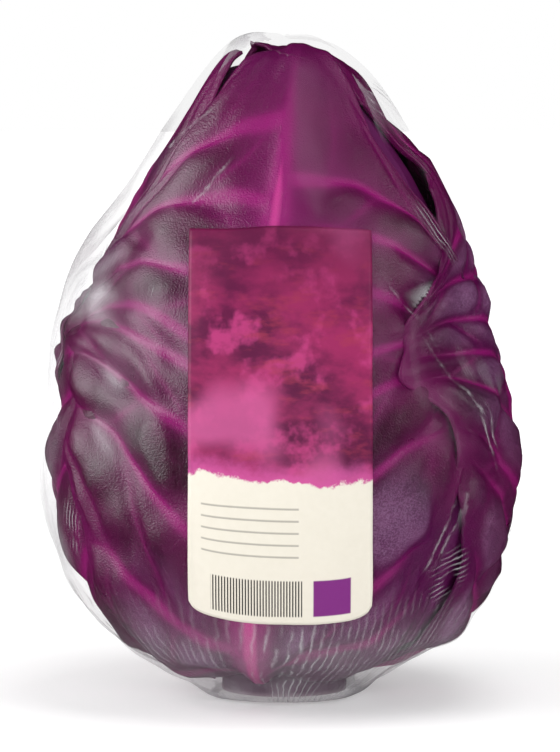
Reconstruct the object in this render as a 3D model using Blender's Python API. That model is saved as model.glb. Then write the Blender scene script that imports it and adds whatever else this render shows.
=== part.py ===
"""A pointed red cabbage head, shrink-wrapped in clear film, with a paper label on its front.

Units are metres, +Z is up and the front faces -Y. The head stands on the cut face of its stalk.
Every layer is a distance from the middle of the head in each direction, so the layers lie over one
another in order: the inner head, six wrapper leaves, the film and the label.
"""

import math

import bpy
import numpy as np

# Driving dimensions of the wrapped head.
HEIGHT = 0.170
WIDTH = 0.126
DEPTH = 0.112
MIDDLE = 0.072  # height of the point that every layer is measured from

# The stalk, cut square under the head.
STALK_RADIUS = 0.016
STALK_FOOT = 0.0016  # height of the cut face, which leaves room for the film under it
STALK_TOP = 0.030
FOOT_RADIUS = 0.0215  # of the film's flat foot, on which the head stands

# Leaves, film and paper. The film's and the paper's walls are stouter than the real ones.
LEAF_THICKNESS = 0.0014
LEAF_GAP = 0.0009
LEAF_FOOT = 0.0022  # the leaves stay this far above the floor
MIDRIB, PUCKER, RIM = 0.0022, 0.0017, 0.0010  # heights over the blade
FILM_WALL = 0.0008
FILM_GAP = 0.0006
LABEL_WIDTH = 0.0448
LABEL_LOW, LABEL_HIGH = math.radians(-42.8), math.radians(49.5)
LABEL_THICKNESS = 0.0007
LABEL_GAP = 0.0004
LABEL_SHIFT = -0.0010
LABEL_CORNER = 0.0035
VENT_RADIUS = 0.004

# Outline of the wrapped head as (height, radius), from the foot to the tip.
OUTLINE = [
    (0.0000, 0.0160), (0.0030, 0.0290), (0.0100, 0.0400), (0.0220, 0.0500), (0.0380, 0.0585),
    (0.0560, 0.0625), (0.0760, 0.0604), (0.0940, 0.0566), (0.1100, 0.0512), (0.1240, 0.0443),
    (0.1370, 0.0359), (0.1490, 0.0284), (0.1590, 0.0208), (0.1660, 0.0156), (0.1700, 0.0095),
]  # fmt: skip
LEFT_SHOULDER = 0.0031  # the outline stands out further on the left, and less on the right
LEFT_NECK = 0.0004  # and a little just under the tip too
COVER_BLUR = 16  # passes that soften the inner head's hollows under the leaves
HEAD_LOBES = 0.0008
LEFT_HOLLOW = 0.0048  # how far the leaves fall away from the film on the left
FOOT_HOLLOW, TIP_HOLLOW = 0.0048, 0.0020  # room for the ribs, which crowd together at both ends

# Lattice of directions that the layers are worked out on, two degrees apart.
STEP = math.radians(2)
LONGITUDE = np.arange(-math.pi, math.pi, STEP)
LATITUDE = np.arange(-90, 91, 2) * math.pi / 180

# Where the lattices of the solids have their rows and columns.
HEAD_COLUMNS, HEAD_ROWS = 30, 18
FILM_COLUMNS, FILM_ROWS = 44, 28
LEAF_ACROSS = [-1, -0.8, -0.58, -0.36, -0.16, -0.05, 0, 0.05, 0.16, 0.36, 0.58, 0.8, 1]
SIDE_VEINS = 9
FIRST_VEIN, LAST_VEIN = 0.09, 0.93

# The wrapper leaves, from the innermost to the outermost. Angles are in degrees: azimuth is where the
# midrib stands, from the front towards +X, lean tips it towards +X, base and tip are its ends seen from
# the middle, and left and right are the blade's reach to either side.
LEAVES = {
    "leaf_crown": dict(azimuth=148, lean=-5, base=-74, tip=97, left=60, right=58, phase=0.3),
    "leaf_left": dict(azimuth=-98, lean=4, base=-75, tip=84, left=60, right=64, phase=1.9),
    "leaf_back": dict(azimuth=172, lean=-3, base=-75, tip=80, left=58, right=62, phase=3.1),
    "leaf_front": dict(azimuth=-7, lean=3, base=-75, tip=88, left=76, right=66, phase=4.4),
    "leaf_right": dict(azimuth=96, lean=-3, base=-74, tip=66, left=60, right=56, phase=5.2),
    "leaf_outer_back": dict(azimuth=-142, lean=3, base=-74, tip=58, left=52, right=50, phase=0.9),
}

COLOURS = {
    "head": (0.085, 0.006, 0.055),
    "leaf": (0.11, 0.006, 0.075),
    "film": (0.80, 0.80, 0.84),
    "label": (0.86, 0.82, 0.70),
}


def clear_scene():
    for thing in list(bpy.data.objects):
        bpy.data.objects.remove(thing, do_unlink=True)


def material(name, colour, roughness, alpha=1.0):
    made = bpy.data.materials.new(name)
    made.use_nodes = True
    shader = made.node_tree.nodes["Principled BSDF"]
    shader.inputs["Base Color"].default_value = (*colour, 1)
    shader.inputs["Roughness"].default_value = roughness
    shader.inputs["Metallic"].default_value = 0
    shader.inputs["Alpha"].default_value = alpha
    return made


def smooth_step(low, high, value):
    share = np.clip((value - low) / (high - low), 0, 1)
    return share * share * (3 - 2 * share)


def direction(longitude, latitude):
    """Unit vector for an angle round from the front and one up from level."""
    return np.stack(
        [
            np.cos(latitude) * np.sin(longitude),
            -np.cos(latitude) * np.cos(longitude),
            np.sin(latitude),
        ],
        axis=-1,
    )


def placed(unit, reach):
    """Point at that distance from the middle, with the head's depth drawn in."""
    point = unit * reach[..., None] * np.array([1, DEPTH / WIDTH, 1])
    return point + np.array([0, 0, MIDDLE])


def read_layer(layer, unit):
    """A layer's distance in any direction, between its lattice values."""
    longitude = np.arctan2(unit[..., 0], -unit[..., 1])
    latitude = np.arcsin(np.clip(unit[..., 2], -1, 1))
    across = (longitude + math.pi) / STEP
    up = np.clip((latitude + math.pi / 2) / STEP, 0, len(LATITUDE) - 1.000001)
    column, row = np.floor(across).astype(int), np.floor(up).astype(int)
    a, b = across - column, up - row
    column, beyond = column % len(LONGITUDE), (column + 1) % len(LONGITUDE)
    low = layer[row, column] * (1 - a) + layer[row, beyond] * a
    high = layer[row + 1, column] * (1 - a) + layer[row + 1, beyond] * a
    return low * (1 - b) + high * b


def drawn_taut(layer, passes):
    """A taut skin over a layer: it keeps to the high places and spans the hollows as flat as it can.

    A flat wall's inverse distance is a first-degree harmonic, so each pass moves the inverse distance
    towards the value that makes it one, and never lets the skin sink into the layer.
    """
    limit = 1 / layer
    skin = limit.copy()
    inside = LATITUDE[1:-1, None]
    north = np.cos(inside + STEP / 2) / np.cos(inside)
    south = np.cos(inside - STEP / 2) / np.cos(inside)
    round_about = 1 / np.cos(inside) ** 2
    whole = north + south + 2 * round_about - 2 * STEP**2
    for _ in range(passes):
        beside = np.roll(skin[1:-1], 1, axis=1) + np.roll(skin[1:-1], -1, axis=1)
        drawn = (north * skin[2:] + south * skin[:-2] + round_about * beside) / whole
        skin[1:-1] = np.minimum(limit[1:-1], drawn)
        skin[0] = np.minimum(limit[0], skin[1].mean())
        skin[-1] = np.minimum(limit[-1], skin[-2].mean())
    return 1 / skin


def outline_reach(latitude, longitude):
    """Distance from the middle to the wrapped head's outline, through a smooth curve on its points."""
    points = np.array([(0, 0), *OUTLINE, (HEIGHT + 0.001, 0)], float)
    points[0] = (OUTLINE[0][0], -OUTLINE[0][1])
    points[-1] = (OUTLINE[-1][0], -OUTLINE[-1][1])
    curve = []
    for before, start, end, after in zip(points, points[1:], points[2:], points[3:]):
        for t in np.linspace(0, 1, 12, endpoint=False):
            curve.append(
                0.5
                * (
                    2 * start
                    + (end - before) * t
                    + (2 * before - 5 * start + 4 * end - after) * t**2
                    + (3 * start - before - 3 * end + after) * t**3
                )
            )
    curve = np.array([(0, 0), *curve, (HEIGHT, 0)])
    angle = np.arctan2(curve[:, 0] - MIDDLE, curve[:, 1])
    reach = np.hypot(curve[:, 0] - MIDDLE, curve[:, 1])
    order = np.argsort(angle)
    reach = np.interp(latitude, angle[order], reach[order])
    shoulder = LEFT_SHOULDER * np.exp(-(((latitude - math.radians(27)) / math.radians(17)) ** 2))
    neck = LEFT_NECK * np.exp(-(((latitude - math.radians(68)) / math.radians(10)) ** 2))
    return reach - (neck + shoulder) * np.sin(longitude)


def inner_head_layer(leaves):
    """The tight head under the wrapper leaves. It gives way by a leaf's depth under every leaf over it."""
    latitude, longitude = np.meshgrid(LATITUDE, LONGITUDE, indexing="ij")
    unit = direction(longitude, latitude).reshape(-1, 3)
    cover = sum(leaf.facets().locate(unit)[2].astype(float) for leaf in leaves).reshape(latitude.shape)
    for _ in range(COVER_BLUR):
        cover[1:-1] = (cover[:-2] + cover[2:] + np.roll(cover, 1, 1)[1:-1] + np.roll(cover, -1, 1)[1:-1]) / 4
        cover[0], cover[-1] = cover[1].mean(), cover[-2].mean()
    inset = FILM_GAP + FILM_WALL + cover * (LEAF_GAP + LEAF_THICKNESS)
    inset = inset + FOOT_HOLLOW * smooth_step(math.radians(-50), math.radians(-68), latitude)
    inset = inset + TIP_HOLLOW * smooth_step(math.radians(55), math.radians(80), latitude)
    level = np.cos(latitude)
    lobes = np.sin(2 * longitude + 0.9) * level + 0.8 * np.sin(3 * longitude + 3 * latitude) * level**2
    left_side = smooth_step(0.35, 0.95, -np.sin(longitude) * level)
    return outline_reach(latitude, longitude) - inset + HEAD_LOBES * (lobes - 0.8) - LEFT_HOLLOW * left_side


def stalk_points():
    """Points round the stalk from its cut face up, seen from the middle and with the depth let out."""
    turn = np.linspace(0, 2 * math.pi, 48, endpoint=False)
    height = np.linspace(STALK_FOOT, STALK_FOOT + 0.006, 4)
    turn, height = np.meshgrid(turn, height)
    points = [STALK_RADIUS * np.cos(turn), STALK_RADIUS * np.sin(turn), height - MIDDLE]
    return np.stack(points, axis=-1).reshape(-1, 3)


def stalk_layer():
    """The cut face of the stalk, as a distance from the middle, and nothing outside it."""
    latitude = LATITUDE[:, None] + 0 * LONGITUDE[None, :]
    reach = (MIDDLE - STALK_FOOT) / np.maximum(-np.sin(latitude), 0.1)
    over_stalk = (latitude < 0) & (reach * np.cos(latitude) <= STALK_RADIUS)
    return np.where(over_stalk, reach, 0)


def label_calm(longitude, latitude):
    """One where the label presses the leaves flat, fading to none outside it."""
    edge = LABEL_WIDTH / WIDTH * 1.08
    beside = smooth_step(edge + 0.16, edge, np.abs(longitude) * np.cos(latitude))
    within = smooth_step(LABEL_LOW - 0.16, LABEL_LOW, latitude)
    return beside * within * smooth_step(LABEL_HIGH + 0.16, LABEL_HIGH, latitude)


class Leaf:
    """A wrapper leaf as a sheet of directions: along runs from base to tip, across from -1 to 1."""

    def __init__(self, azimuth, lean, base, tip, left, right, phase):
        turn, lean = math.radians(azimuth), math.radians(lean)
        side = np.array([math.cos(turn), math.sin(turn), 0])
        self.out = np.array([math.sin(turn), -math.cos(turn), 0])
        self.up = math.cos(lean) * np.array([0, 0, 1]) + math.sin(lean) * side
        self.side = math.cos(lean) * side - math.sin(lean) * np.array([0, 0, 1])
        self.base, self.tip = math.radians(base), math.radians(tip)
        self.left, self.right = math.radians(left), math.radians(right)
        self.phase = phase

    def sweep(self, along):
        """How steeply the side veins climb as they leave the midrib."""
        return 0.62 * np.sin(math.pi * along) ** 0.7 - 0.60 * along**5

    def half_width(self, along, across):
        """The blade's reach to one side: narrow at the base, widest past the middle, round at the tip."""
        widest = np.where(across < 0, self.left, self.right)
        swell = np.sin(math.pi * np.clip(0.06 + 0.82 * along, 0, 1)) ** 0.62
        tip = np.sqrt(np.clip(1 - along**7, 0.13, 1))
        wave = 1 + 0.045 * np.sin(21 * along + self.phase + 2 * across)
        return widest * swell * tip * wave

    def unit(self, along, across):
        beside = across * self.half_width(along, across)
        upward = self.base + (self.tip - self.base) * along + self.sweep(along) * np.abs(beside)
        upward, beside = upward[..., None], beside[..., None]
        return np.cos(beside) * (np.cos(upward) * self.out + np.sin(upward) * self.up) + np.sin(beside) * self.side

    def lattice(self):
        """Rows along the leaf, one on each side vein and one between, and columns across it."""
        half = (LAST_VEIN - FIRST_VEIN) / (SIDE_VEINS - 1) / 2
        along = [0, 0.04, *(FIRST_VEIN + half * np.arange(2 * SIDE_VEINS - 1)), 0.97, 1.0]
        return np.meshgrid(along, LEAF_ACROSS, indexing="ij")

    def facets(self):
        along, across = self.lattice()
        return Facets(self.unit(along, across).reshape(-1, 3), grid_faces(*along.shape))

    def relief(self, along, across):
        """Height over the blade: the midrib, the puckers that swell between the side veins, a lifted rim."""
        beside = np.abs(across)
        midrib = np.exp(-((beside / (0.075 - 0.035 * along)) ** 2)) * (1.15 - 0.75 * along)
        midrib = midrib * smooth_step(0, 0.08, along)
        count = (along - FIRST_VEIN) / (LAST_VEIN - FIRST_VEIN) * (SIDE_VEINS - 1)
        pucker = 0.5 - 0.5 * np.cos(2 * math.pi * count)
        pucker = pucker * (0.75 + 0.25 * np.sin(7 * across + 2.4 * np.floor(count) + self.phase))
        pucker = pucker * smooth_step(0.04, 0.30, beside) * smooth_step(1.0, 0.7, beside)
        pucker = pucker * smooth_step(0.02, 0.12, along) * smooth_step(0.95, 0.7, along)
        rim = smooth_step(0.84, 1.0, beside) * (0.5 + 0.5 * np.sin(17 * along + 2 * self.phase))
        return MIDRIB * midrib + PUCKER * pucker + RIM * rim * smooth_step(0.1, 0.3, along)


class Facets:
    """Triangles between directions. A flat facet's inverse distance is linear in the direction."""

    def __init__(self, unit, faces):
        self.unit = unit
        self.faces = np.array(faces)
        self.corners = np.linalg.inv(np.swapaxes(unit[self.faces], 1, 2))

    def locate(self, unit):
        """For each direction: the facet it passes through, its shares of the corners, and whether any."""
        facet = np.empty(len(unit), int)
        share = np.empty((len(unit), 3))
        for start in range(0, len(unit), 1000):
            some = unit[start : start + 1000]
            shares = (self.corners.reshape(-1, 3) @ some.T).reshape(-1, 3, len(some))
            best = shares.min(1).argmax(0)
            facet[start : start + 1000] = best
            share[start : start + 1000] = shares[best, :, np.arange(len(some))]
        return self.faces[facet], share, share.min(1) > -1e-6

    def samples(self, values):
        """Points on the facets: their corners, three along each edge and their own middles."""
        points = self.unit * values[:, None]
        pairs = np.concatenate([self.faces[:, [0, 1]], self.faces[:, [1, 2]], self.faces[:, [2, 0]]])
        start, end = points[np.unique(np.sort(pairs, axis=1), axis=0)].transpose(1, 0, 2)
        between = [start * (1 - t) + end * t for t in (0.25, 0.5, 0.75)]
        return np.concatenate([points, *between, points[self.faces].mean(1)])

    def lifted_clear(self, values, stack, gap, ceiling):
        """The distances, raised until the facets clear all that lies under them, up to a ceiling."""
        own = self.samples(values)
        own = own / np.linalg.norm(own, axis=1)[:, None]
        unit = np.concatenate([own, stack.unit])
        needed = np.concatenate([stack.reach_at(own), stack.reach]) + gap
        corner, share, inside = self.locate(unit)
        corner, share, needed = corner[inside], share[inside], needed[inside]
        for _ in range(60):
            short = np.maximum(needed - self.reach(values, (corner, share)), 0)
            if short.max() < 1e-6:
                break
            lift = np.zeros_like(values)
            for k in range(3):
                np.maximum.at(lift, corner[:, k], short * (share[:, k] > 0.02))
            values = np.minimum(values + 0.7 * lift, ceiling)
        return values

    def reach(self, values, located):
        return 1 / (located[1] / values[located[0]]).sum(1)


class Stack:
    """What has been laid so far: its distance on the lattice, its sheets, and points all over them."""

    def __init__(self, facets, values, extra):
        latitude, longitude = np.meshgrid(LATITUDE, LONGITUDE, indexing="ij")
        self.lattice = direction(longitude, latitude).reshape(-1, 3)
        self.layer = np.zeros(latitude.shape)
        self.sheets = []
        self.reach = np.linalg.norm(extra, axis=1)
        self.unit = extra / self.reach[:, None]
        self.add(facets, values)

    def add(self, facets, values):
        """Lay a sheet on top."""
        self.sheets.append((facets, values))
        corner, share, inside = facets.locate(self.lattice)
        reach = self.layer.ravel().copy()
        laid = facets.reach(values, (corner[inside], share[inside]))
        reach[inside] = np.maximum(reach[inside], laid)
        self.layer = reach.reshape(self.layer.shape)
        points = facets.samples(values)
        reach = np.linalg.norm(points, axis=1)
        self.unit = np.concatenate([self.unit, points / reach[:, None]])
        self.reach = np.concatenate([self.reach, reach])

    def reach_at(self, unit):
        """The outermost sheet's distance in each direction."""
        outermost = np.zeros(len(unit))
        for facets, values in self.sheets:
            corner, share, inside = facets.locate(unit)
            laid = facets.reach(values, (corner[inside], share[inside]))
            outermost[inside] = np.maximum(outermost[inside], laid)
        return outermost


def grid_faces(rows, columns):
    """Two triangles to each cell of a grid, as index triples."""
    faces = []
    for r in range(rows - 1):
        for c in range(columns - 1):
            a = r * columns + c
            faces += two_triangles(a, a + 1, a + columns + 1, a + columns)
    return faces


def leaf_sheet(leaf, stack):
    """A leaf laid over the stack: its directions and its inner and outer distances."""
    along, across = leaf.lattice()
    unit, shape, facets = leaf.unit(along, across), along.shape, leaf.facets()
    calm = label_calm(np.arctan2(unit[..., 0], -unit[..., 1]), np.arcsin(unit[..., 2]))
    relief = leaf.relief(along, across) * (1 - 0.75 * calm)
    inner = read_layer(drawn_taut(stack.layer, 14), unit) + LEAF_GAP + 0.6 * relief
    ceiling = (MIDDLE - LEAF_FOOT) / np.maximum(-unit[..., 2], 0.05) - LEAF_THICKNESS
    inner = np.minimum(inner, ceiling).ravel()
    inner = facets.lifted_clear(inner, stack, 0.6 * LEAF_GAP, ceiling.ravel())
    outer = inner + LEAF_THICKNESS + 0.4 * relief.ravel()
    stack.add(facets, outer)
    return unit, inner.reshape(shape), outer.reshape(shape)


def film_fields(under):
    """The film's inner distance: taut over the leaves and the stalk, and loose down the left side."""
    latitude, longitude = np.meshgrid(LATITUDE, LONGITUDE, indexing="ij")
    calm = label_calm(longitude, latitude)
    skin = drawn_taut(under, 60)
    backing = drawn_taut(under, 400)
    skin = drawn_taut(np.maximum(skin, skin + calm * (backing - skin)), 20)
    left = smooth_step(0.30, 0.85, -np.sin(longitude))
    left = left * smooth_step(math.radians(-55), math.radians(-35), latitude)
    loose = np.maximum(outline_reach(latitude, longitude) - FILM_WALL - FILM_GAP - skin, 0)
    return skin + FILM_GAP + loose * left


def ring_faces(rows, columns):
    """Triangles of a closed skin whose points are its rings from the foot up, then the foot and the tip."""
    foot, tip = rows * columns, rows * columns + 1
    faces = []
    for c in range(columns):
        beyond = (c + 1) % columns
        faces.append((foot, beyond, c))
        faces.append((tip, (rows - 1) * columns + c, (rows - 1) * columns + beyond))
        for r in range(rows - 1):
            a, b = r * columns + c, r * columns + beyond
            faces += two_triangles(a, b, b + columns, a + columns)
    return faces


def ring_directions(latitudes, columns):
    longitude = np.linspace(-math.pi, math.pi, columns, endpoint=False)
    latitude, longitude = np.meshgrid(latitudes, longitude, indexing="ij")
    unit = direction(longitude, latitude).reshape(-1, 3)
    return np.concatenate([unit, [[0, 0, -1], [0, 0, 1]]])


def film_sheet(stack):
    """The film's facets and its inner and outer distances. Its foot is flat where the head stands."""
    foot = math.atan2(MIDDLE, FOOT_RADIUS)
    share = np.arange(FILM_ROWS) / FILM_ROWS
    latitudes = (math.pi / 2 + foot) * share - foot - 0.10 * np.sin(2 * math.pi * share)
    facets = Facets(ring_directions(latitudes, FILM_COLUMNS), ring_faces(FILM_ROWS, FILM_COLUMNS))
    down = np.maximum(-facets.unit[:, 2], 0.05)
    ceiling = (MIDDLE - FILM_WALL) / down
    inner = read_layer(film_fields(np.maximum(stack.layer, stalk_layer())), facets.unit)
    inner[:FILM_COLUMNS] = inner[-2] = 1
    inner = facets.lifted_clear(np.minimum(inner, ceiling), stack, 0.6 * FILM_GAP, ceiling)
    return facets, inner, np.minimum(inner + FILM_WALL, MIDDLE / down)


def mesh_object(name, points, faces, finish):
    mesh = bpy.data.meshes.new(name)
    mesh.from_pydata([tuple(p) for p in points], [], faces)
    mesh.materials.append(finish)
    mesh.shade_smooth()
    mesh.set_sharp_from_angle(angle=math.radians(40))
    made = bpy.data.objects.new(name, mesh)
    bpy.context.scene.collection.objects.link(made)
    return made


def two_triangles(a, b, c, d):
    return [(a, b, c), (a, c, d)]


def sheet_solid(name, unit, inner, outer, shift, finish):
    """A curved sheet with a wall: both faces split into triangles alike, closed round its rim."""
    rows, columns = inner.shape
    lower = (placed(unit, inner) + shift).reshape(-1, 3)
    upper = (placed(unit, outer) + shift).reshape(-1, 3)
    over = rows * columns
    faces = []
    for face in grid_faces(rows, columns):
        faces += [face[::-1], tuple(over + i for i in face)]
    rim = list(range(columns))
    rim += [r * columns + columns - 1 for r in range(1, rows)]
    rim += [(rows - 1) * columns + c for c in range(columns - 2, -1, -1)]
    rim += [r * columns for r in range(rows - 2, 0, -1)]
    for a, b in zip(rim, rim[1:] + rim[:1]):
        faces += two_triangles(a, b, over + b, over + a)
    return mesh_object(name, np.concatenate([lower, upper]), faces, finish)


def vent_cutter(name, shift):
    """A short peg through the film at the back, which leaves the vent that lets the air out."""
    bpy.ops.mesh.primitive_cylinder_add(
        vertices=12, radius=VENT_RADIUS, depth=0.03,
        location=(0 + shift[0], DEPTH / 2 + shift[1], MIDDLE), rotation=(math.pi / 2, 0, 0),
    )  # fmt: skip
    cutter = bpy.context.object
    cutter.name = name
    cutter.hide_render = True
    cutter.display_type = "WIRE"
    return cutter


def add_boolean(target, tool, operation):
    cut = target.modifiers.new(operation.lower(), "BOOLEAN")
    cut.operation = operation
    cut.object = tool
    return cut


def build_inner_head(facets, reach, shift, finish):
    """The tight head, with the stalk grown out of its foot."""
    points = placed(facets.unit, reach) + shift
    head = mesh_object("inner_head", points, ring_faces(HEAD_ROWS, HEAD_COLUMNS), finish)
    bpy.ops.mesh.primitive_cone_add(
        vertices=24, radius1=STALK_RADIUS, radius2=STALK_RADIUS * 0.9, depth=STALK_TOP - STALK_FOOT,
        location=(shift[0], shift[1], (STALK_TOP + STALK_FOOT) / 2), scale=(1, DEPTH / WIDTH, 1),
    )  # fmt: skip
    stalk = bpy.context.object
    add_boolean(head, stalk, "UNION")
    bpy.context.view_layer.objects.active = head
    bpy.ops.object.modifier_apply(modifier="union")
    bpy.data.objects.remove(stalk, do_unlink=True)
    return head


def build_film(facets, inner, outer, shift, finish):
    """The film as a closed skin round the head, with the vent through its back."""
    faces = [tuple(face) for face in facets.faces.tolist()]
    faces += [tuple(i + len(inner) for i in face[::-1]) for face in faces]
    points = np.concatenate([placed(facets.unit, outer), placed(facets.unit, inner)]) + shift
    film = mesh_object("film_wrap", points, faces, finish)
    add_boolean(film, vent_cutter("vent_cutter", shift), "DIFFERENCE")
    return film


def label_sheet(film, film_outer, stack):
    """The label: a strip up the front, as wide everywhere, laid just over the film."""
    across = np.sin(np.linspace(-math.pi / 2, math.pi / 2, 9))
    up, over = np.meshgrid(np.linspace(LABEL_LOW, LABEL_HIGH, 15), across, indexing="ij")
    corner = LABEL_CORNER * (1 - np.sqrt(np.clip(1 - np.abs(over) ** 12, 0, 1)))
    up = up + corner / WIDTH * np.where(up < 0, 1, -0.2)
    aside = LABEL_SHIFT + over * LABEL_WIDTH / 2
    reach = np.full(up.size, WIDTH / 2)
    for _ in range(6):
        sideways = np.arcsin(aside.ravel() / reach)
        level = np.cos(sideways)
        unit = [np.sin(sideways), -level * np.cos(up.ravel()), level * np.sin(up.ravel())]
        unit = np.stack(unit, axis=-1)
        reach = film.reach(film_outer, film.locate(unit))
    facets = Facets(unit, grid_faces(*up.shape))
    stack.add(film, film_outer)
    inner = facets.lifted_clear(reach + LABEL_GAP, stack, 0.8 * LABEL_GAP, 1)
    return unit.reshape(*up.shape, 3), inner.reshape(up.shape)


def main():
    clear_scene()
    leaf_finish = material("cabbage_leaf", COLOURS["leaf"], 0.38)
    head_finish = material("inner_leaves", COLOURS["head"], 0.45)
    film_finish = material("clear_film", COLOURS["film"], 0.15, 0.3)
    label_finish = material("label_paper", COLOURS["label"], 0.5)

    latitudes = np.linspace(-math.pi / 2, math.pi / 2, HEAD_ROWS + 2)[1:-1]
    head = Facets(ring_directions(latitudes, HEAD_COLUMNS), ring_faces(HEAD_ROWS, HEAD_COLUMNS))
    leaves = {name: Leaf(**spec) for name, spec in LEAVES.items()}
    head_reach = read_layer(inner_head_layer(leaves.values()), head.unit)
    stack = Stack(head, head_reach, stalk_points())
    sheets = {name: leaf_sheet(leaf, stack) for name, leaf in leaves.items()}
    film, film_inner, film_outer = film_sheet(stack)
    label_unit, label_inner = label_sheet(film, film_outer, stack)
    label_outer = label_inner + LABEL_THICKNESS

    outermost = [placed(film.unit, film_outer), placed(label_unit, label_outer).reshape(-1, 3)]
    outermost = np.concatenate(outermost)
    middle = (outermost.max(0) + outermost.min(0)) / 2
    shift = np.array([-middle[0], -middle[1], 0])

    build_inner_head(head, head_reach, shift, head_finish)
    for name, (unit, inner, outer) in sheets.items():
        sheet_solid(name, unit, inner, outer, shift, leaf_finish)
    build_film(film, film_inner, film_outer, shift, film_finish)
    sheet_solid("label", label_unit, label_inner, label_outer, shift, label_finish)


main()
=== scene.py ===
"""Looks of a pointed red cabbage head in clear film, with a paper label on its front.

The leaves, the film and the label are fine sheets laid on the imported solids. Each starts as a grid or a
sphere, and its points are then placed: a direction from the middle of the head, and a distance that is
read from the sheet's solid, softened, and given the sheet's own relief.
"""

import math

import bpy
import numpy as np
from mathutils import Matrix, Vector
from mathutils.bvhtree import BVHTree


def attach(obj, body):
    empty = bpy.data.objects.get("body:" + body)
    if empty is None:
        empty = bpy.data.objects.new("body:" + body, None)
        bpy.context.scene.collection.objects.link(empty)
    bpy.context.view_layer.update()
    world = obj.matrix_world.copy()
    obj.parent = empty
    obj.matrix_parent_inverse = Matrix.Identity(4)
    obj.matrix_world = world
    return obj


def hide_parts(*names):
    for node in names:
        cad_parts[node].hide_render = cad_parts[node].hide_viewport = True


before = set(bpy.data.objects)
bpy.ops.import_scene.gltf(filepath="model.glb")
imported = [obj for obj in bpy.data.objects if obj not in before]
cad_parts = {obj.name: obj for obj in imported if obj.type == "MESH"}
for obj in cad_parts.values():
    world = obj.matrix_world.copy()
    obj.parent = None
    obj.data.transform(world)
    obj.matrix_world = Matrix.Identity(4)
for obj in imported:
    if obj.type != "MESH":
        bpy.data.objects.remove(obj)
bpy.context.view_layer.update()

# The head's build, in metres and degrees, the same as the solids have it. A leaf's flare is how much wider
# than its solid the sheet's right margin is towards the tip, where it closes a hollow beside it.
MIDDLE_HEIGHT = 0.072
DEPTH_SHARE = 0.112 / 0.126  # depth over width
LEAVES = {
    "leaf_crown": dict(azimuth=148, lean=-5, base=-74, tip=97, left=60, right=58, phase=0.3),
    "leaf_left": dict(azimuth=-98, lean=4, base=-75, tip=84, left=60, right=64, phase=1.9),
    "leaf_back": dict(azimuth=172, lean=-3, base=-75, tip=80, left=58, right=62, phase=3.1),
    "leaf_front": dict(azimuth=-7, lean=3, base=-75, tip=88, left=76, right=66, phase=4.4, flare=0.23),
    "leaf_right": dict(azimuth=96, lean=-3, base=-74, tip=66, left=60, right=56, phase=5.2),
    "leaf_outer_back": dict(azimuth=-142, lean=3, base=-74, tip=58, left=52, right=50, phase=0.9),
}
LABEL_WIDTH = 0.0448
LABEL_LOW, LABEL_HIGH = math.radians(-42.8), math.radians(49.5)
LABEL_SHIFT = -0.0010
LABEL_CORNER = 0.0035
VENT_RADIUS = 0.004
TOP_RISE = 0.050  # how far the label's upper corners rise, as an angle, so that its top edge looks straight

# Where the side veins of a leaf leave its midrib, on its left and right, from its base at 0 to its tip at 1.
VEINS = {
    -1: (0.05, 0.15, 0.27, 0.37, 0.48, 0.56, 0.67, 0.78, 0.88),
    1: (0.09, 0.20, 0.31, 0.43, 0.52, 0.63, 0.72, 0.83),
}
VEIN_JITTER = 0.022
LEAF_LENGTH = 0.19  # along the midrib, near enough

# Heights over the blade, in metres.
MIDRIB, VEIN, PUCKER, RIM, UNDULATION = 0.0017, 0.0004, 0.0030, 0.0012, 0.0008

# How fine the surfaces are, and how they lie.
LEAF_ROWS, LEAF_COLUMNS = 221, 131
SPHERE_RINGS, SPHERE_SEGMENTS = 250, 376
LABEL_ROWS, LABEL_COLUMNS = 121, 55
LEAF_BLADE = 0.0008
FILM_CLING = 0.0004  # gap between the film and what it touches
FILM_ROOM = 0.0010  # between the film's solid and the leaves that reach up to it
DRAWN_IN = 0.0010  # how far the taut film lies within its solid
LEFT_GAP = 0.0054  # the least gap that counts at the loose left side
WIDEST_GAP = 0.0066
VEIL_START, VEIL_FULL = 0.0030, 0.0078  # gaps at which the film starts to turn grey, and is fully so
LABEL_LIFT = 0.0003
LABEL_BLADE = 0.00025
AROUND_RADIUS, ALONG_RADIUS = 0.062, 0.066  # turn angles over the head into metres, around it and along it

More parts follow.
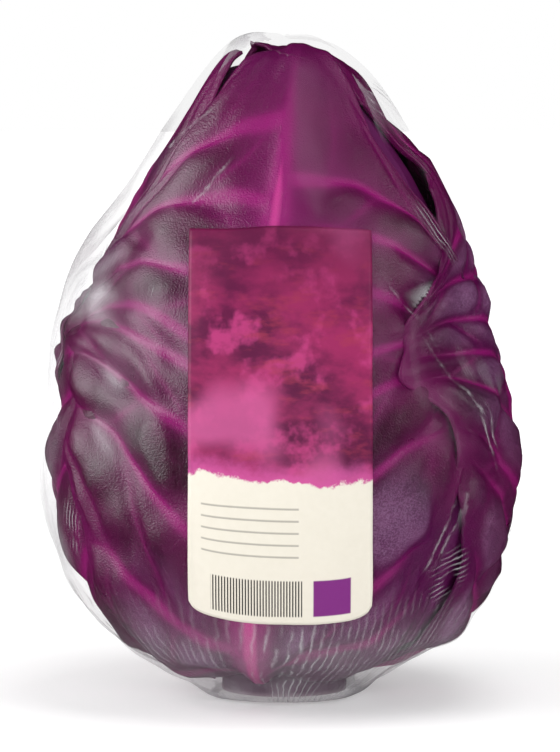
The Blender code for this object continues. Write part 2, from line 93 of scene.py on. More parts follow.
# Gathers of the film: short creases side by side. Each has its longitude and latitude in degrees, the
# tilt of its creases from upright, and in metres the creases' spacing, and the gather's length and width.
GATHERS = [
    (37, 29, -28, 0.0040, 0.017, 0.0018),
    (46, 12, -34, 0.0040, 0.019, 0.0018),
    (55, -2, -30, 0.0034, 0.010, 0.0030),
    (56, 46, -22, 0.0013, 0.010, 0.0028),
    (51, 16, -10, 0.0011, 0.006, 0.0030),
    (59, 12, -8, 0.0010, 0.007, 0.0034),
    (66, 8, 6, 0.0009, 0.006, 0.0034),
    (42, -10, 4, 0.0042, 0.014, 0.0018),
    (40, -24, 18, 0.0030, 0.010, 0.0024),
    (76, -24, 84, 0.0014, 0.009, 0.0070),
    (45, -32, 70, 0.0015, 0.007, 0.0080),
    (-66, 32, 42, 0.0012, 0.003, 0.0024),
    (-70, 15, 40, 0.0013, 0.003, 0.0024),
    (-80, 20, 4, 0.0012, 0.004, 0.0018),
    (-36, 32, 3, 0.0012, 0.003, 0.0024),
    (-70, 2, 10, 0.0015, 0.005, 0.0030),
    (-62, -22, 30, 0.0016, 0.009, 0.0050),
    (72, 71, -50, 0.0014, 0.007, 0.0050),
    (-52, 64, 42, 0.0040, 0.014, 0.0022),
    (-28, 57, 30, 0.0040, 0.009, 0.0018),
    (150, 20, 24, 0.0016, 0.012, 0.0050),
    (-150, 5, -20, 0.0016, 0.012, 0.0050),
    (120, -20, 30, 0.0014, 0.010, 0.0060),
    (-120, 35, 16, 0.0015, 0.010, 0.0050),
    (178, 50, -6, 0.0016, 0.010, 0.0040),
    (105, 38, -18, 0.0013, 0.009, 0.0040),
]

# Pockets where the film stands off the leaves: longitude, latitude and spread in degrees, and how far out.
POCKETS = [
    (76, 72, 7, 0.0032), (-95, -48, 18, 0.0026), (-80, 84, 4, 0.0012), (80, 84, 4, 0.0012),
    (-92, 40, 12, 0.0008), (150, 66, 8, 0.0020), (-150, -40, 14, 0.0018), (105, -50, 12, 0.0010),
]  # fmt: skip

# The camera, and what it is aimed at.
CAMERA_DISTANCE = 1.10
CAMERA_ELEVATION = math.radians(6)
FRAME_HEIGHT = 0.1920  # how much of the upright the frame takes in at the head
AIM = (-0.0006, 0.0, 0.0819)
LIGHT_AIM = (0, 0, 0.08)
SURROUND = 0.45  # how bright the white surround lights the head, against 1 where the camera sees it


def smooth_step(low, high, value):
    share = np.clip((value - low) / (high - low), 0, 1)
    return share * share * (3 - 2 * share)


def ridge(distance, width):
    return np.exp(-((distance / width) ** 2))


def direction(longitude, latitude):
    level = np.cos(latitude)
    return np.stack([level * np.sin(longitude), -level * np.cos(longitude), np.sin(latitude)], axis=-1)


def unit_angles(unit):
    """Longitude and latitude of directions."""
    return np.arctan2(unit[..., 0], -unit[..., 1]), np.arcsin(np.clip(unit[..., 2], -1, 1))


def foot_centre():
    """Middle of the film's flat foot, which stands under the middle of the head."""
    node = bpy.data.objects["film_wrap"]
    points = np.array([node.matrix_world @ v.co for v in node.data.vertices])
    foot = points[points[:, 2] < 1e-5]
    return (foot.max(0) + foot.min(0)) / 2


CENTRE = foot_centre() + np.array([0, 0, MIDDLE_HEIGHT])
STRETCH = np.array([1, DEPTH_SHARE, 1])


def placed(unit, reach):
    return CENTRE + unit * reach[..., None] * STRETCH


def surface_tree(*objects):
    """Search tree over the faces of some objects."""
    points, faces = [], []
    for thing in objects:
        start = len(points)
        points += [thing.matrix_world @ v.co for v in thing.data.vertices]
        faces += [[start + i for i in p.vertices] for p in thing.data.polygons]
    return BVHTree.FromPolygons(points, faces)


def reach_of(tree, unit, missing=0.0):
    """Distance from the centre to the outermost surface in each direction."""
    far = 0.3
    flat = unit.reshape(-1, 3)
    reach = np.full(len(flat), missing)
    for i, ray in enumerate(flat * STRETCH):
        start = CENTRE + ray * far
        hit, _, _, _ = tree.ray_cast(Vector(start), Vector(-ray), far)
        if hit is not None:
            reach[i] = np.linalg.norm((np.array(hit) - CENTRE) / STRETCH)
    return reach.reshape(unit.shape[:-1])


def softened(grid, passes, around=False):
    """A grid averaged with its neighbours some times over."""
    mode = "wrap" if around else "edge"
    for _ in range(passes):
        across = np.pad(grid, ((0, 0), (1, 1)), mode=mode)
        grid = (across[:, :-2] + 2 * across[:, 1:-1] + across[:, 2:]) / 4
        along = np.pad(grid, ((1, 1), (0, 0)), mode="edge")
        grid = (along[:-2] + 2 * along[1:-1] + along[2:]) / 4
    return grid


def filled(grid, missing):
    """A grid whose missing values are drawn along each row from their neighbours."""
    for row, lost in zip(grid, missing):
        known = np.flatnonzero(~lost)
        row[:] = np.interp(np.arange(len(row)), known, row[known])
    return grid


def undulation(unit, length, seed):
    """Smooth random swells over the head, of about that length in metres and between -1 and 1 or so."""
    draw = np.random.default_rng(seed)
    waves = 14
    way = draw.normal(size=(waves, 3))
    way = way / np.linalg.norm(way, axis=1)[:, None] * (2 * math.pi * 0.06 / length)
    turn = draw.uniform(0, 2 * math.pi, waves)
    return np.cos(unit @ way.T + turn).sum(-1) / math.sqrt(waves)


def start_grid(name, columns, rows):
    """A flat grid whose points run from -1 to 1 both ways, and those places as two arrays."""
    bpy.ops.object.select_all(action="DESELECT")
    bpy.ops.mesh.primitive_grid_add(x_subdivisions=columns - 1, y_subdivisions=rows - 1, size=2)
    made = bpy.context.object
    made.name = made.data.name = name
    flat = np.empty(3 * len(made.data.vertices))
    made.data.vertices.foreach_get("co", flat)
    flat = flat.reshape(rows, columns, 3)
    return made, flat[..., 0], flat[..., 1]


def place_points(made, points, **fields):
    """Put a mesh's points in their places, and keep named values on them for the materials."""
    made.data.vertices.foreach_set("co", points.astype(np.float32).ravel())
    for name, values in fields.items():
        kept = made.data.attributes.new(name, "FLOAT", "POINT")
        kept.data.foreach_set("value", values.astype(np.float32).ravel())
    made.data.update()
    bpy.ops.object.shade_smooth()


def give_wall(made, thickness):
    """Give a sheet its wall, inwards from the face that shows."""
    wall = made.modifiers.new("wall", "SOLIDIFY")
    wall.thickness = thickness
    wall.offset = -1
    bpy.ops.object.modifier_apply(modifier="wall")


def stand_for(made, node):
    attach(made, "root")
    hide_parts(node)


def label_calm(unit):
    """One where the label presses the leaves flat, fading to none outside it."""
    longitude, latitude = unit_angles(unit)
    edge = 0.38
    beside = smooth_step(edge + 0.14, edge, np.abs(longitude) * np.cos(latitude))
    above_foot = smooth_step(LABEL_LOW - 0.14, LABEL_LOW, latitude)
    return beside * above_foot * smooth_step(LABEL_HIGH + 0.1, LABEL_HIGH, latitude)


class Leaf:
    """A wrapper leaf as a sheet of directions: along runs from base to tip, across from -1 to 1."""

    def __init__(self, azimuth, lean, base, tip, left, right, phase, flare=0.0):
        turn, lean = math.radians(azimuth), math.radians(lean)
        side = np.array([math.cos(turn), math.sin(turn), 0])
        self.out = np.array([math.sin(turn), -math.cos(turn), 0])
        self.up = math.cos(lean) * np.array([0, 0, 1]) + math.sin(lean) * side
        self.side = math.cos(lean) * side - math.sin(lean) * np.array([0, 0, 1])
        self.base, self.tip = math.radians(base), math.radians(tip)
        self.left, self.right = math.radians(left), math.radians(right)
        self.phase, self.flare = phase, flare
        self.seed = int(phase * 10)

    def half_width(self, along, across):
        widest = np.where(across < 0, self.left, self.right)
        swell = np.sin(math.pi * np.clip(0.06 + 0.82 * along, 0, 1)) ** 0.62
        tip = np.sqrt(np.clip(1 - along**7, 0.13, 1))
        wave = 1 + 0.045 * np.sin(21 * along + self.phase + 2 * across)
        flare = smooth_step(0.50, 0.70, along) * smooth_step(1.0, 0.90, along)
        wave = wave + self.flare * np.where(across > 0, flare, 0)
        return widest * swell * tip * wave

    def unit(self, along, across):
        beside = across * self.half_width(along, across)
        sweep = 0.62 * np.sin(math.pi * along) ** 0.7 - 0.60 * along**5
        upward = self.base + (self.tip - self.base) * along + sweep * np.abs(beside)
        upward, beside = upward[..., None], beside[..., None]
        ahead = np.cos(upward) * self.out + np.sin(upward) * self.up
        return np.cos(beside) * ahead + np.sin(beside) * self.side

    def vein_lines(self, side, across):
        """Where each side vein on one side runs, as a place along the leaf for every place across it."""
        draw = np.random.default_rng([self.seed, side + 1])
        beside = np.abs(across)
        lines = [np.full(across.shape, -0.12)]
        for start in VEINS[side]:
            start = start + draw.uniform(-VEIN_JITTER, VEIN_JITTER)
            climb, bend, turn = draw.uniform(-0.03, 0.04), draw.uniform(-0.05, 0.03), draw.uniform(0, 6)
            lines.append(start + climb * beside + bend * beside**2 + 0.008 * np.sin(9 * beside + turn))
        lines.append(np.full(across.shape, 1.12))
        return np.array(lines)

    def fields(self, along, across):
        """The leaf's ribs and the puckers between them, each from 0 to 1."""
        beside = np.abs(across)
        swell, vein, branch = np.zeros(along.shape), np.zeros(along.shape), np.zeros(along.shape)
        for side in VEINS:
            lines = self.vein_lines(side, across)
            below = np.clip((along[None] > lines).sum(0) - 1, 0, len(lines) - 2)
            low = np.take_along_axis(lines, below[None], 0)[0]
            high = np.take_along_axis(lines, below[None] + 1, 0)[0]
            share = np.clip((along - low) / (high - low), 0, 1)
            cell = np.random.default_rng([self.seed, side + 5]).uniform(0, 1, len(lines))[below]
            count = 2.6 * beside + 0.55 * (share - 0.5) * np.where(cell > 0.5, 1, -1) + 3 * cell
            to_branch = np.abs(count - np.round(count))
            roomy = np.clip((high - low) / 0.10, 0.45, 1.25)
            bulge = np.sin(math.pi * share) ** 0.75 * roomy * (0.65 + 0.35 * cell)
            bulge = bulge * (1 - 0.55 * ridge(to_branch, 0.16))
            nearest = np.minimum(along - low, high - along) * LEAF_LENGTH
            here = (across * side) > 0
            swell = np.where(here, bulge, swell)
            vein = np.where(here, ridge(nearest, 0.0026 - 0.0014 * beside), vein)
            branch = np.where(here, ridge(to_branch, 0.05) * np.sin(math.pi * share) ** 0.5, branch)
        ends = smooth_step(0.0, 0.10, along) * smooth_step(1.0, 0.88, along)
        swell = swell * smooth_step(0.03, 0.22, beside) * smooth_step(1.0, 0.78, beside) * ends
        vein = vein * smooth_step(1.0, 0.45, beside) * smooth_step(1.0, 0.90, along)
        branch = branch * smooth_step(1.0, 0.6, beside) * ends
        midrib = ridge(beside, 0.095 - 0.060 * along) * smooth_step(1.04, 0.80, along)
        return midrib, vein, branch, swell

    def relief(self, along, across, unit):
        midrib, vein, branch, swell = self.fields(along, across)
        beside = np.abs(across)
        curl = smooth_step(0.88, 1.0, beside) * (0.35 + 0.65 * np.sin(27 * along + 2 * self.phase))
        broad = undulation(unit, 0.026, self.seed) + 0.45 * undulation(unit, 0.011, self.seed + 1)
        broad = broad * smooth_step(0.02, 0.2, beside)
        ribs = MIDRIB * midrib * (1.2 - 0.8 * along) + VEIN * vein + 0.4 * VEIN * branch
        height = ribs + PUCKER * (swell - 0.45) + RIM * curl + UNDULATION * broad
        return height, midrib, vein, branch, swell


def build_leaf(name, spec, film_tree):
    leaf = Leaf(**spec)
    made, across, up = start_grid(name + "_blade", LEAF_COLUMNS, LEAF_ROWS)
    along = (up + 1) / 2
    tree = surface_tree(bpy.data.objects[name])
    reach = reach_of(tree, leaf.unit(np.clip(along, 0.004, 0.996), across * 0.993), missing=np.nan)
    reach = filled(reach, np.isnan(reach))
    unit = leaf.unit(along, across)
    relief, midrib, vein, branch, swell = leaf.relief(along, across, unit)

    # The sheet reaches out to the film near the tip and at the right, and part of the way at the left.
    film = reach_of(film_tree, unit)
    film = softened(filled(film, film < 0.01), 4)
    turn, rise = unit_angles(unit)
    start = 0.90 if name == "leaf_front" else 0.70
    taut = 0.85 * smooth_step(start, start + 0.3, rise + 0.45 * np.sin(turn))
    taut = np.maximum(taut, 0.60 * smooth_step(0.55, 0.90, -np.sin(turn)) * smooth_step(0.60, 0.30, rise))
    base = softened(reach, 22)
    base = base + taut * np.clip(film - FILM_ROOM - base, 0, 1)
    reach = np.minimum(base + relief * (1 - 0.8 * label_calm(unit)), film + 0.0002)
    floor = (MIDDLE_HEIGHT - 0.001) / np.maximum(-unit[..., 2], 0.05)
    reach = np.minimum(reach, floor)

    rib = np.maximum(midrib, np.maximum(0.8 * vein, 0.35 * branch))
    place_points(made, placed(unit, reach), rib=rib, swell=swell)
    give_wall(made, LEAF_BLADE)
    stand_for(made, name)
    return made


def gathers(unit):
    """How strongly the film is gathered, and where a point lies among the creases, counted in creases."""
    longitude, latitude = unit_angles(unit)
    low = smooth_step(math.radians(-30), math.radians(-55), latitude)
    low = low * smooth_step(math.radians(-84), math.radians(-72), latitude)
    patch = 0.5 + 0.5 * np.sin(3 * longitude + 1.2 + 0.9 * np.sin(5 * longitude))
    strength = 0.75 * low * (0.25 + 0.75 * patch)
    count = (130 * longitude + 9 * np.sin(3 * latitude + 4 * longitude)) / (2 * math.pi)
    for turn, rise, tilt, spacing, length, width in GATHERS:
        turn, rise, tilt = math.radians(turn), math.radians(rise), math.radians(tilt)
        aside = np.angle(np.exp(1j * (longitude - turn))) * math.cos(rise) * AROUND_RADIUS
        above = (latitude - rise) * ALONG_RADIUS
        over = aside * math.cos(tilt) - above * math.sin(tilt)
        on = aside * math.sin(tilt) + above * math.cos(tilt)
        over = over + 0.0003 * np.sin(on / 0.0035)
        here = smooth_step(1.0, 0.3, np.abs(on) / length) * smooth_step(1.0, 0.2, np.abs(over) / width)
        count = np.where(here > strength, over / spacing, count)
        strength = np.maximum(strength, here)
    return strength, count


def build_film(leaves):
    """The film, taut over the leaves: it touches what stands out and spans the hollows."""
    bpy.ops.object.select_all(action="DESELECT")
    bpy.ops.mesh.primitive_uv_sphere_add(segments=SPHERE_SEGMENTS, ring_count=SPHERE_RINGS, radius=1)
    made = bpy.context.object
    made.name = made.data.name = "film_skin"
    sphere = np.empty(3 * len(made.data.vertices))
    made.data.vertices.foreach_get("co", sphere)
    sphere = sphere.reshape(-1, 3)

    latitude = np.linspace(-math.pi / 2, math.pi / 2, SPHERE_RINGS + 1)
    longitude = np.linspace(-math.pi, math.pi, SPHERE_SEGMENTS, endpoint=False)
    latitude, longitude = np.meshgrid(latitude, longitude, indexing="ij")
    unit = direction(longitude, latitude)
    solid = reach_of(surface_tree(bpy.data.objects["film_wrap"]), unit)
    solid = filled(solid, solid < 0.01)
    beneath = reach_of(surface_tree(bpy.data.objects["inner_head"], *leaves), unit)
    touch = beneath + FILM_CLING
    slack = smooth_step(0.30, 0.85, -np.sin(longitude))
    slack = slack * smooth_step(math.radians(-55), math.radians(-30), latitude)
    slack = slack * smooth_step(math.radians(80), math.radians(65), latitude)
    drawn_in = DRAWN_IN * (1 - slack) * smooth_step(math.radians(-74), math.radians(-60), latitude)
    drawn_in = drawn_in * smooth_step(math.radians(78), math.radians(60), latitude)
    skin = softened(solid, 8, around=True) - drawn_in
    skin = skin + slack * (0.0005 * undulation(unit, 0.024, 5) + 0.0003 * undulation(unit, 0.010, 6))
    for turn, rise, spread, out in POCKETS:
        away = np.arccos(np.clip(unit @ direction(math.radians(turn), math.radians(rise)), -1, 1))
        skin = skin + out * ridge(away, math.radians(spread))
    skin = np.maximum(skin, touch)
    for _ in range(16):
        skin = np.maximum(softened(skin, 1, around=True) - 0.00001, touch)
    skin = softened(skin, 3, around=True)
    strength, count = gathers(unit)
    skin = skin + 0.00004 * undulation(unit, 0.0055, 8)
    skin = np.minimum(skin, MIDDLE_HEIGHT / np.maximum(-np.sin(latitude), 0.05))
    gap = np.maximum(skin - beneath, 0)
    at_left = smooth_step(0.80, 0.98, -np.sin(longitude)) * slack
    gap = np.maximum(np.minimum(gap, WIDEST_GAP), LEFT_GAP * at_left)

    row = np.round((np.arcsin(np.clip(sphere[:, 2], -1, 1)) / math.pi + 0.5) * SPHERE_RINGS).astype(int)
    turn = np.arctan2(sphere[:, 0], -sphere[:, 1]) / (2 * math.pi) + 0.5
    column = np.round(turn * SPHERE_SEGMENTS).astype(int) % SPHERE_SEGMENTS
    skin[0], skin[-1] = skin[0].mean(), skin[-1].mean()
    place_points(
        made, placed(sphere, skin[row, column]),
        gap=gap[row, column], gather=strength[row, column], crease=count[row, column],
    )  # fmt: skip
    stand_for(made, "film_wrap")
    return made


def build_label(film):
    """The label: as wide everywhere, round at its lower corners, and laid on the film."""
    made, over, up = start_grid("label_face", LABEL_COLUMNS, LABEL_ROWS)
    up = LABEL_LOW + (LABEL_HIGH - LABEL_LOW) * (up + 1) / 2
    corner = LABEL_CORNER * (1 - np.sqrt(np.clip(1 - np.abs(over) ** 12, 0, 1)))
    up = up + corner / MIDDLE_HEIGHT * smooth_step(-0.1, -0.6, up)
    up = up + TOP_RISE * over**2 * smooth_step(0.2, 0.86, up)
    aside = LABEL_SHIFT + over * LABEL_WIDTH / 2
    tree = surface_tree(film)
    reach = np.full(up.shape, 0.06)
    for _ in range(4):
        sideways = np.arcsin(aside / reach)
        level = np.cos(sideways)
        unit = np.stack([np.sin(sideways), -level * np.cos(up), level * np.sin(up)], axis=-1)
        reach = reach_of(tree, unit)
    backing = softened(reach, 40)
    reach = np.maximum(backing, softened(np.maximum(reach, backing), 6)) + LABEL_LIFT
    place_points(made, placed(unit, reach))
    give_wall(made, LABEL_BLADE)
    stand_for(made, "label")
    return made


class Value:
    """A shader value. Arithmetic on it adds Math nodes to its graph."""

    def __init__(self, graph, socket):
        self.graph, self.socket = graph, socket

    def math(self, operation, *others):
        made = self.graph.node("ShaderNodeMath", settings={"operation": operation})
        for place, value in enumerate((self, *others)):
            self.graph.feed(made.socket.node.inputs[place], value)
        return made

    def __add__(self, other):
        return self.math("ADD", other)

    def __sub__(self, other):
        return self.math("SUBTRACT", other)

    def __mul__(self, other):
        return self.math("MULTIPLY", other)

    def __truediv__(self, other):
        return self.math("DIVIDE", other)

    def __pow__(self, other):
        return self.math("POWER", other)

    def __radd__(self, other):
        return self + other

    def __rmul__(self, other):
        return self * other

    def __rsub__(self, other):
        return self * -1 + other

    def abs(self):
        return self.math("ABSOLUTE")

    def step(self, low, high):
        """Smooth rise from 0 at low to 1 at high, or a fall where low is the greater."""
        flip = float(low > high)
        return self.graph.node(
            "ShaderNodeMapRange", settings={"interpolation_type": "SMOOTHSTEP"},
            Value=self, From_Min=min(low, high), From_Max=max(low, high), To_Min=flip, To_Max=1 - flip,
        )  # fmt: skip


class Graph:
    """The nodes of a material or of the world, and its shader."""

    def __init__(self, owner, shader="Principled BSDF"):
        owner.use_nodes = True
        self.owner, self.tree = owner, owner.node_tree
        self.shader = self.tree.nodes[shader]

    def feed(self, socket, value):
        if isinstance(value, Value):
            self.tree.links.new(value.socket, socket)
        else:
            socket.default_value = value

    def node(self, kind, output=0, settings=None, **inputs):
        """Add a node, make its settings, then feed its inputs, and give one of its outputs."""
        made = self.tree.nodes.new(kind)
        for name, setting in (settings or {}).items():
            setattr(made, name, setting)
        for name, value in inputs.items():
            self.feed(made.inputs[name.replace("_", " ")], value)
        return Value(self, made.outputs[output])

    def set(self, **inputs):
        for name, value in inputs.items():
            self.feed(self.shader.inputs[name.replace("_", " ")], value)

    def mix(self, share, first, second):
        """Blend of two colours."""
        made = self.node("ShaderNodeMix", output=2, settings={"data_type": "RGBA"}, Factor=share)
        colour_places = (6, 7)
        for place, colour in zip(colour_places, (first, second)):
            colour = colour if isinstance(colour, Value) else (*colour, 1)
            self.feed(made.socket.node.inputs[place], colour)
        return made

    def noise(self, vector, scale, detail=3, roughness=0.5):
        inputs = dict(Vector=vector, Scale=scale, Detail=detail, Roughness=roughness)
        return self.node("ShaderNodeTexNoise", **inputs)

    def stretched(self, vector, x, y, z):
        return self.node("ShaderNodeMapping", Vector=vector, Scale=(x, y, z))

    def kept(self, name):
        """A named value that the mesh keeps on its points."""
        return self.node("ShaderNodeAttribute", output=2, settings={"attribute_name": name})

    def place(self):
        return self.node("ShaderNodeTexCoord", output=3)

    def bump(self, height, distance, strength=1.0):
        return self.node("ShaderNodeBump", Strength=strength, Distance=distance, Height=height)


def leaf_material():
    """Deep purple blade, more magenta towards its ribs, with a fine net of veins, and a lilac waxy coat with
    a painted highlight on its puckers.
    """
    g = Graph(bpy.data.materials.new("leaf_blade"))
    rib, swell, place = g.kept("rib"), g.kept("swell"), g.place()
    mottle = g.noise(place, 120, 5, 0.6)
    patch = g.noise(place, 30, 3)
    broad = g.noise(place, 11, 2)
    net = g.node("ShaderNodeTexVoronoi", settings={"feature": "DISTANCE_TO_EDGE"}, Vector=place, Scale=190)
    fine_vein = net.step(0.11, 0.0)
    blade = g.mix(patch.step(0.36, 0.66), (0.026, 0.0002, 0.011), (0.074, 0.0005, 0.034))
    blade = g.mix(broad.step(0.42, 0.62) * 0.55, blade, (0.100, 0.0008, 0.080))
    blade = g.mix((1 - swell) * broad.step(0.64, 0.38) * 0.6, blade, (0.210, 0.0010, 0.115))
    blade = g.mix(mottle.step(0.45, 0.70) * 0.20, blade, (0.140, 0.003, 0.080))
    blade = g.mix(fine_vein * 0.05, blade, (0.220, 0.004, 0.130))
    blade = g.mix(rib.step(0.02, 0.80) * 0.70, blade, (0.290, 0.0015, 0.150))
    blade = g.mix(rib.step(0.84, 1.00) * 0.9, blade, (0.500, 0.035, 0.240))
    speckle = g.noise(place, 2300, 2)
    # Painted highlight: a speckled lilac sheen is mixed into the colour on the puckers. It also stands for
    # the leaf's waxy coat.
    bloom_and_sheen_grain = mottle * 0.6 + speckle.step(0.42, 0.60) * 0.5
    bloom_and_sheen = swell.step(0.30, 0.85) * broad.step(0.44, 0.60) * bloom_and_sheen_grain
    blade = g.mix(bloom_and_sheen * 0.55, blade, (0.34, 0.17, 0.33))
    g.set(Base_Color=blade, Roughness=mottle * 0.14 + 0.23, IOR=1.75)
    grain = g.bump(speckle, 0.00020, 1.0)
    relief = mottle * 0.10 + fine_vein * 0.05 + patch * 1.4
    g.set(Normal=g.node("ShaderNodeBump", Strength=0.5, Distance=0.0006, Height=relief, Normal=grain))
    return g.owner


def inner_material():
    """The tight inner leaves, which show their deep purple between the wrapper leaves."""
    g = Graph(bpy.data.materials.new("inner_leaf_flesh"))
    place = g.place()
    grain = g.noise(place, 90, 4)
    cut = g.node("ShaderNodeSeparateXYZ", output=2, Vector=place).step(0.0030, 0.0)
    flesh = g.mix(grain, (0.62, 0.50, 0.56), (0.75, 0.66, 0.66))
    blade = g.mix(grain, (0.060, 0.0015, 0.040), (0.130, 0.0050, 0.095))
    g.set(Base_Color=g.mix(cut, blade, flesh), Roughness=0.45)
    g.set(Normal=g.bump(grain, 0.0004, 0.5))
    return g.owner


def film_material():
    """Clear film: it mirrors faintly where it clings, and turns to a grey veil where it is loose."""
    g = Graph(bpy.data.materials.new("clear_film_skin"))
    place, gap, gather = g.place(), g.kept("gap"), g.kept("gather")
    height = g.node("ShaderNodeSeparateXYZ", output=2, Vector=place)
    wisps = g.noise(g.stretched(place, 70, 70, 20), 1.0, 5, 0.6)
    crinkle = (g.noise(g.stretched(place, 160, 160, 70), 1.0, 3) - 0.5).abs()
    stray = g.noise(place, 260, 2)
    crest = ((g.kept("crease") + stray * 0.8) * math.pi).math("COSINE").abs() ** 9
    fold = crest * gather * g.noise(place, 150, 2).step(0.35, 0.62)
    loose = gap.step(VEIL_START, VEIL_FULL)
    low = height.step(0.034, 0.010)
    mirror = g.node("ShaderNodeFresnel", IOR=1.5)
    mirror = (mirror * 2 / (mirror + 1)).math("MINIMUM", 0.16) * (loose * 0.7 + 0.3)
    streak = wisps.step(0.32, 0.68)
    veil = loose * (streak * 0.46 + 0.12) + low * (wisps * 0.30 + 0.03) + fold * 0.6
    veil = veil.math("MINIMUM", 0.8) + 0.002
    aside = g.node("ShaderNodeSeparateXYZ", output=0, Vector=place) - float(CENTRE[0])
    above = height - MIDDLE_HEIGHT
    from_vent = (aside * aside + above * above).math("SQRT")
    behind = g.node("ShaderNodeSeparateXYZ", output=1, Vector=place).step(0.0, 0.01)
    vent = from_vent.step(VENT_RADIUS + 0.0002, VENT_RADIUS - 0.0002) * behind
    hem = (from_vent - VENT_RADIUS).abs().step(0.0008, 0.0002) * behind
    veil = veil + hem * 0.18
    clear = (1 - mirror) * (1 - veil)
    g.set(Base_Color=(0.62, 0.60, 0.63, 1), Metallic=mirror / (mirror + veil))
    g.set(Alpha=(1 - clear) * (1 - vent))
    g.set(Roughness=wisps * 0.14 + 0.15)
    bumps = g.bump(wisps * 0.7 + crinkle * 0.45, 0.0004, 0.5)
    g.set(Normal=g.node("ShaderNodeBump", Strength=0.9, Distance=0.0005, Height=fold, Normal=bumps))
    return g.owner


# Places on the label, as shares of its width from the left and of its height from the foot.
WASH_EDGE = 0.362
SQUARE = (0.68, 0.885, 0.022, 0.118)
STRIPES = (0.12, 0.62, 0.022, 0.118)
RULES = (0.07, 0.60, 0.155, 0.320)


def within(u, v, box):
    left, right, low, high = box
    soft = 0.004
    across = u.step(left - soft, left + soft) * u.step(right + soft, right - soft)
    return across * v.step(low - soft / 2, low + soft / 2) * v.step(high + soft / 2, high - soft / 2)


def stripes(value, count, share):
    """Even stripes, that many over the unit, dark for a share of their pitch."""
    saw = (value * count).math("FRACT")
    return saw.step(share + 0.06, share - 0.06)


def label_material():
    """A painted wash with a ragged foot, and below it cream with rules, stripes and a square."""
    g = Graph(bpy.data.materials.new("label_print"))
    uv = g.node("ShaderNodeUVMap", settings={"uv_map": "UVMap"})
    u = g.node("ShaderNodeSeparateXYZ", output=0, Vector=uv)
    v = g.node("ShaderNodeSeparateXYZ", output=1, Vector=uv)
    place = g.place()
    cloud = g.noise(g.stretched(place, 42, 42, 70), 1.0, 5, 0.62)
    brush = g.noise(g.stretched(place, 90, 90, 260), 1.0, 4, 0.6)
    spots = g.noise(place, 95, 4, 0.6)
    rag = g.noise(place, 130, 6, 0.7)
    wash = g.mix(cloud.step(0.38, 0.62), (0.100, 0.003, 0.044), (0.29, 0.014, 0.094))
    wash = g.mix(spots.step(0.50, 0.66) * 0.8, wash, (0.46, 0.035, 0.175))
    wash = g.mix(brush.step(0.52, 0.70) * 0.55, wash, (0.34, 0.028, 0.068))
    wash = g.mix(g.noise(place, 26, 2).step(0.56, 0.68) * 0.75, wash, (0.52, 0.085, 0.26))
    wash = g.mix(v.step(0.72, 1.02) * 0.65, wash, (0.105, 0.005, 0.042))
    edge = v + (rag - 0.5) * 0.085 + (g.noise(place, 45, 2) - 0.5) * 0.09
    wash = g.mix(edge.step(WASH_EDGE + 0.06, WASH_EDGE) * 0.8, wash, (0.56, 0.075, 0.30))
    paper = g.mix(g.noise(place, 500, 2), (0.70, 0.66, 0.565), (0.74, 0.70, 0.61))
    ink = (0.03, 0.022, 0.025)
    face = g.mix(within(u, v, STRIPES) * stripes(u, 62, 0.45), paper, ink)
    face = g.mix(within(u, v, RULES) * stripes(v, 34, 0.16) * 0.45, face, ink)
    face = g.mix(within(u, v, SQUARE), face, (0.200, 0.016, 0.200))
    face = g.mix(edge.step(WASH_EDGE - 0.005, WASH_EDGE + 0.005), face, wash)
    g.set(Base_Color=face, Roughness=0.42, IOR=1.45)
    g.set(Normal=g.bump(g.noise(place, 700, 2), 0.0001, 0.4))
    return g.owner


def build_floor():
    bpy.ops.object.select_all(action="DESELECT")
    bpy.ops.mesh.primitive_plane_add(size=6, location=(0, 0, -0.0002))
    floor = bpy.context.object
    floor.name = "floor"
    floor.visible_glossy = False
    g = Graph(bpy.data.materials.new("floor_paper"))
    from_head = g.node("ShaderNodeVectorMath", output=1, settings={"operation": "LENGTH"}, Vector=g.place())
    # Painted light: the floor glows, dimmer near the head and full white further out, so that it reads as a
    # white backdrop around the real shadow.
    glow = g.mix(from_head.step(0.16, 0.60), (0.30, 0.30, 0.30), (1.0, 1.0, 1.0))
    g.set(Base_Color=(0.92, 0.92, 0.92, 1), Roughness=0.9)
    g.set(Emission_Color=glow, Emission_Strength=0.9)
    floor.data.materials.append(g.owner)


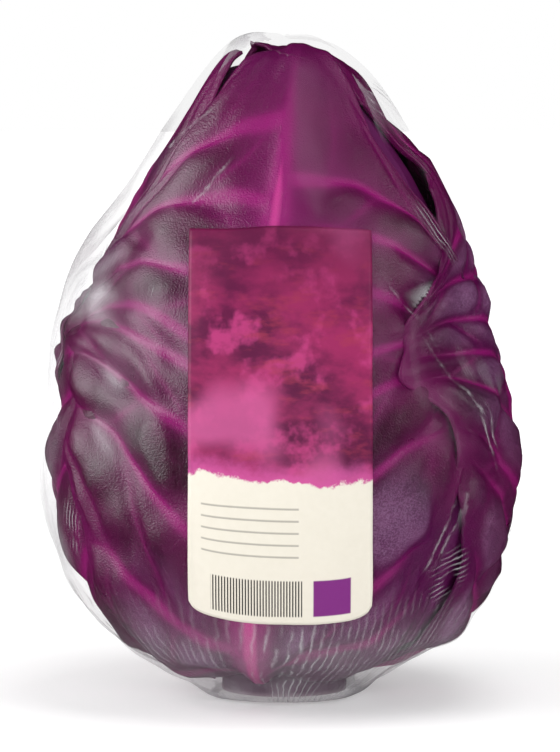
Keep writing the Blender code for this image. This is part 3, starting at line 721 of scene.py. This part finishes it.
def area_light(name, place, size, glow, mirrored=True):
    """A soft box that faces the head, with a face as bright as its glow, and mirrored or not."""
    lamp = bpy.data.lights.new(name, "AREA")
    lamp.shape = "RECTANGLE"
    lamp.size, lamp.size_y = size
    lamp.energy = glow * math.pi * size[0] * size[1]
    made = bpy.data.objects.new(name, lamp)
    made.location = place
    made.rotation_euler = (Vector(place) - Vector(LIGHT_AIM)).to_track_quat("Z", "Y").to_euler()
    made.visible_glossy = mirrored
    bpy.context.scene.collection.objects.link(made)


def build_light():
    """A white surround that gives soft light and isn't mirrored, and five soft boxes."""
    world = bpy.data.worlds.new("studio")
    bpy.context.scene.world = world
    g = Graph(world, "Background")
    seen = g.node("ShaderNodeLightPath", output=0)
    g.set(Color=(1, 1, 1, 1), Strength=seen * (1 - SURROUND) + SURROUND)
    world.cycles_visibility.glossy = False
    area_light("key_left", (-0.95, -0.22, 0.42), (0.9, 1.1), 2.6)
    area_light("edge_right", (0.95, -0.42, 0.50), (0.25, 0.70), 2.2)
    area_light("glint_top", (0.43, -0.53, 1.13), (0.20, 0.20), 3.0)
    area_light("fill_front", (0.10, -1.5, 0.45), (1.0, 0.8), 2.9, mirrored=False)
    area_light("top", (0.20, -0.10, 1.05), (0.45, 0.45), 5.0, mirrored=False)


def build_camera():
    lens = bpy.data.cameras.new("camera")
    camera = bpy.data.objects.new("camera", lens)
    bpy.context.scene.collection.objects.link(camera)
    back = Vector((0, -math.cos(CAMERA_ELEVATION), math.sin(CAMERA_ELEVATION)))
    camera.location = Vector(AIM) + back * CAMERA_DISTANCE
    camera.rotation_euler = back.to_track_quat("Z", "Y").to_euler()
    lens.sensor_fit = "VERTICAL"
    lens.sensor_height = 24
    lens.lens = lens.sensor_height * CAMERA_DISTANCE / FRAME_HEIGHT
    lens.clip_start = 0.01
    bpy.context.scene.camera = camera
    bpy.context.scene.view_settings.view_transform = "Standard"


def main():
    build_camera()
    build_light()
    build_floor()
    blade = leaf_material()
    film_tree = surface_tree(bpy.data.objects["film_wrap"])
    leaves = [build_leaf(name, spec, film_tree) for name, spec in LEAVES.items()]
    for leaf in leaves:
        leaf.data.materials.append(blade)
    film = build_film(leaves)
    film.data.materials.append(film_material())
    label = build_label(film)
    label.data.materials.append(label_material())
    flesh = inner_material()
    for place in bpy.data.objects["inner_head"].material_slots:
        place.material = flesh


main()
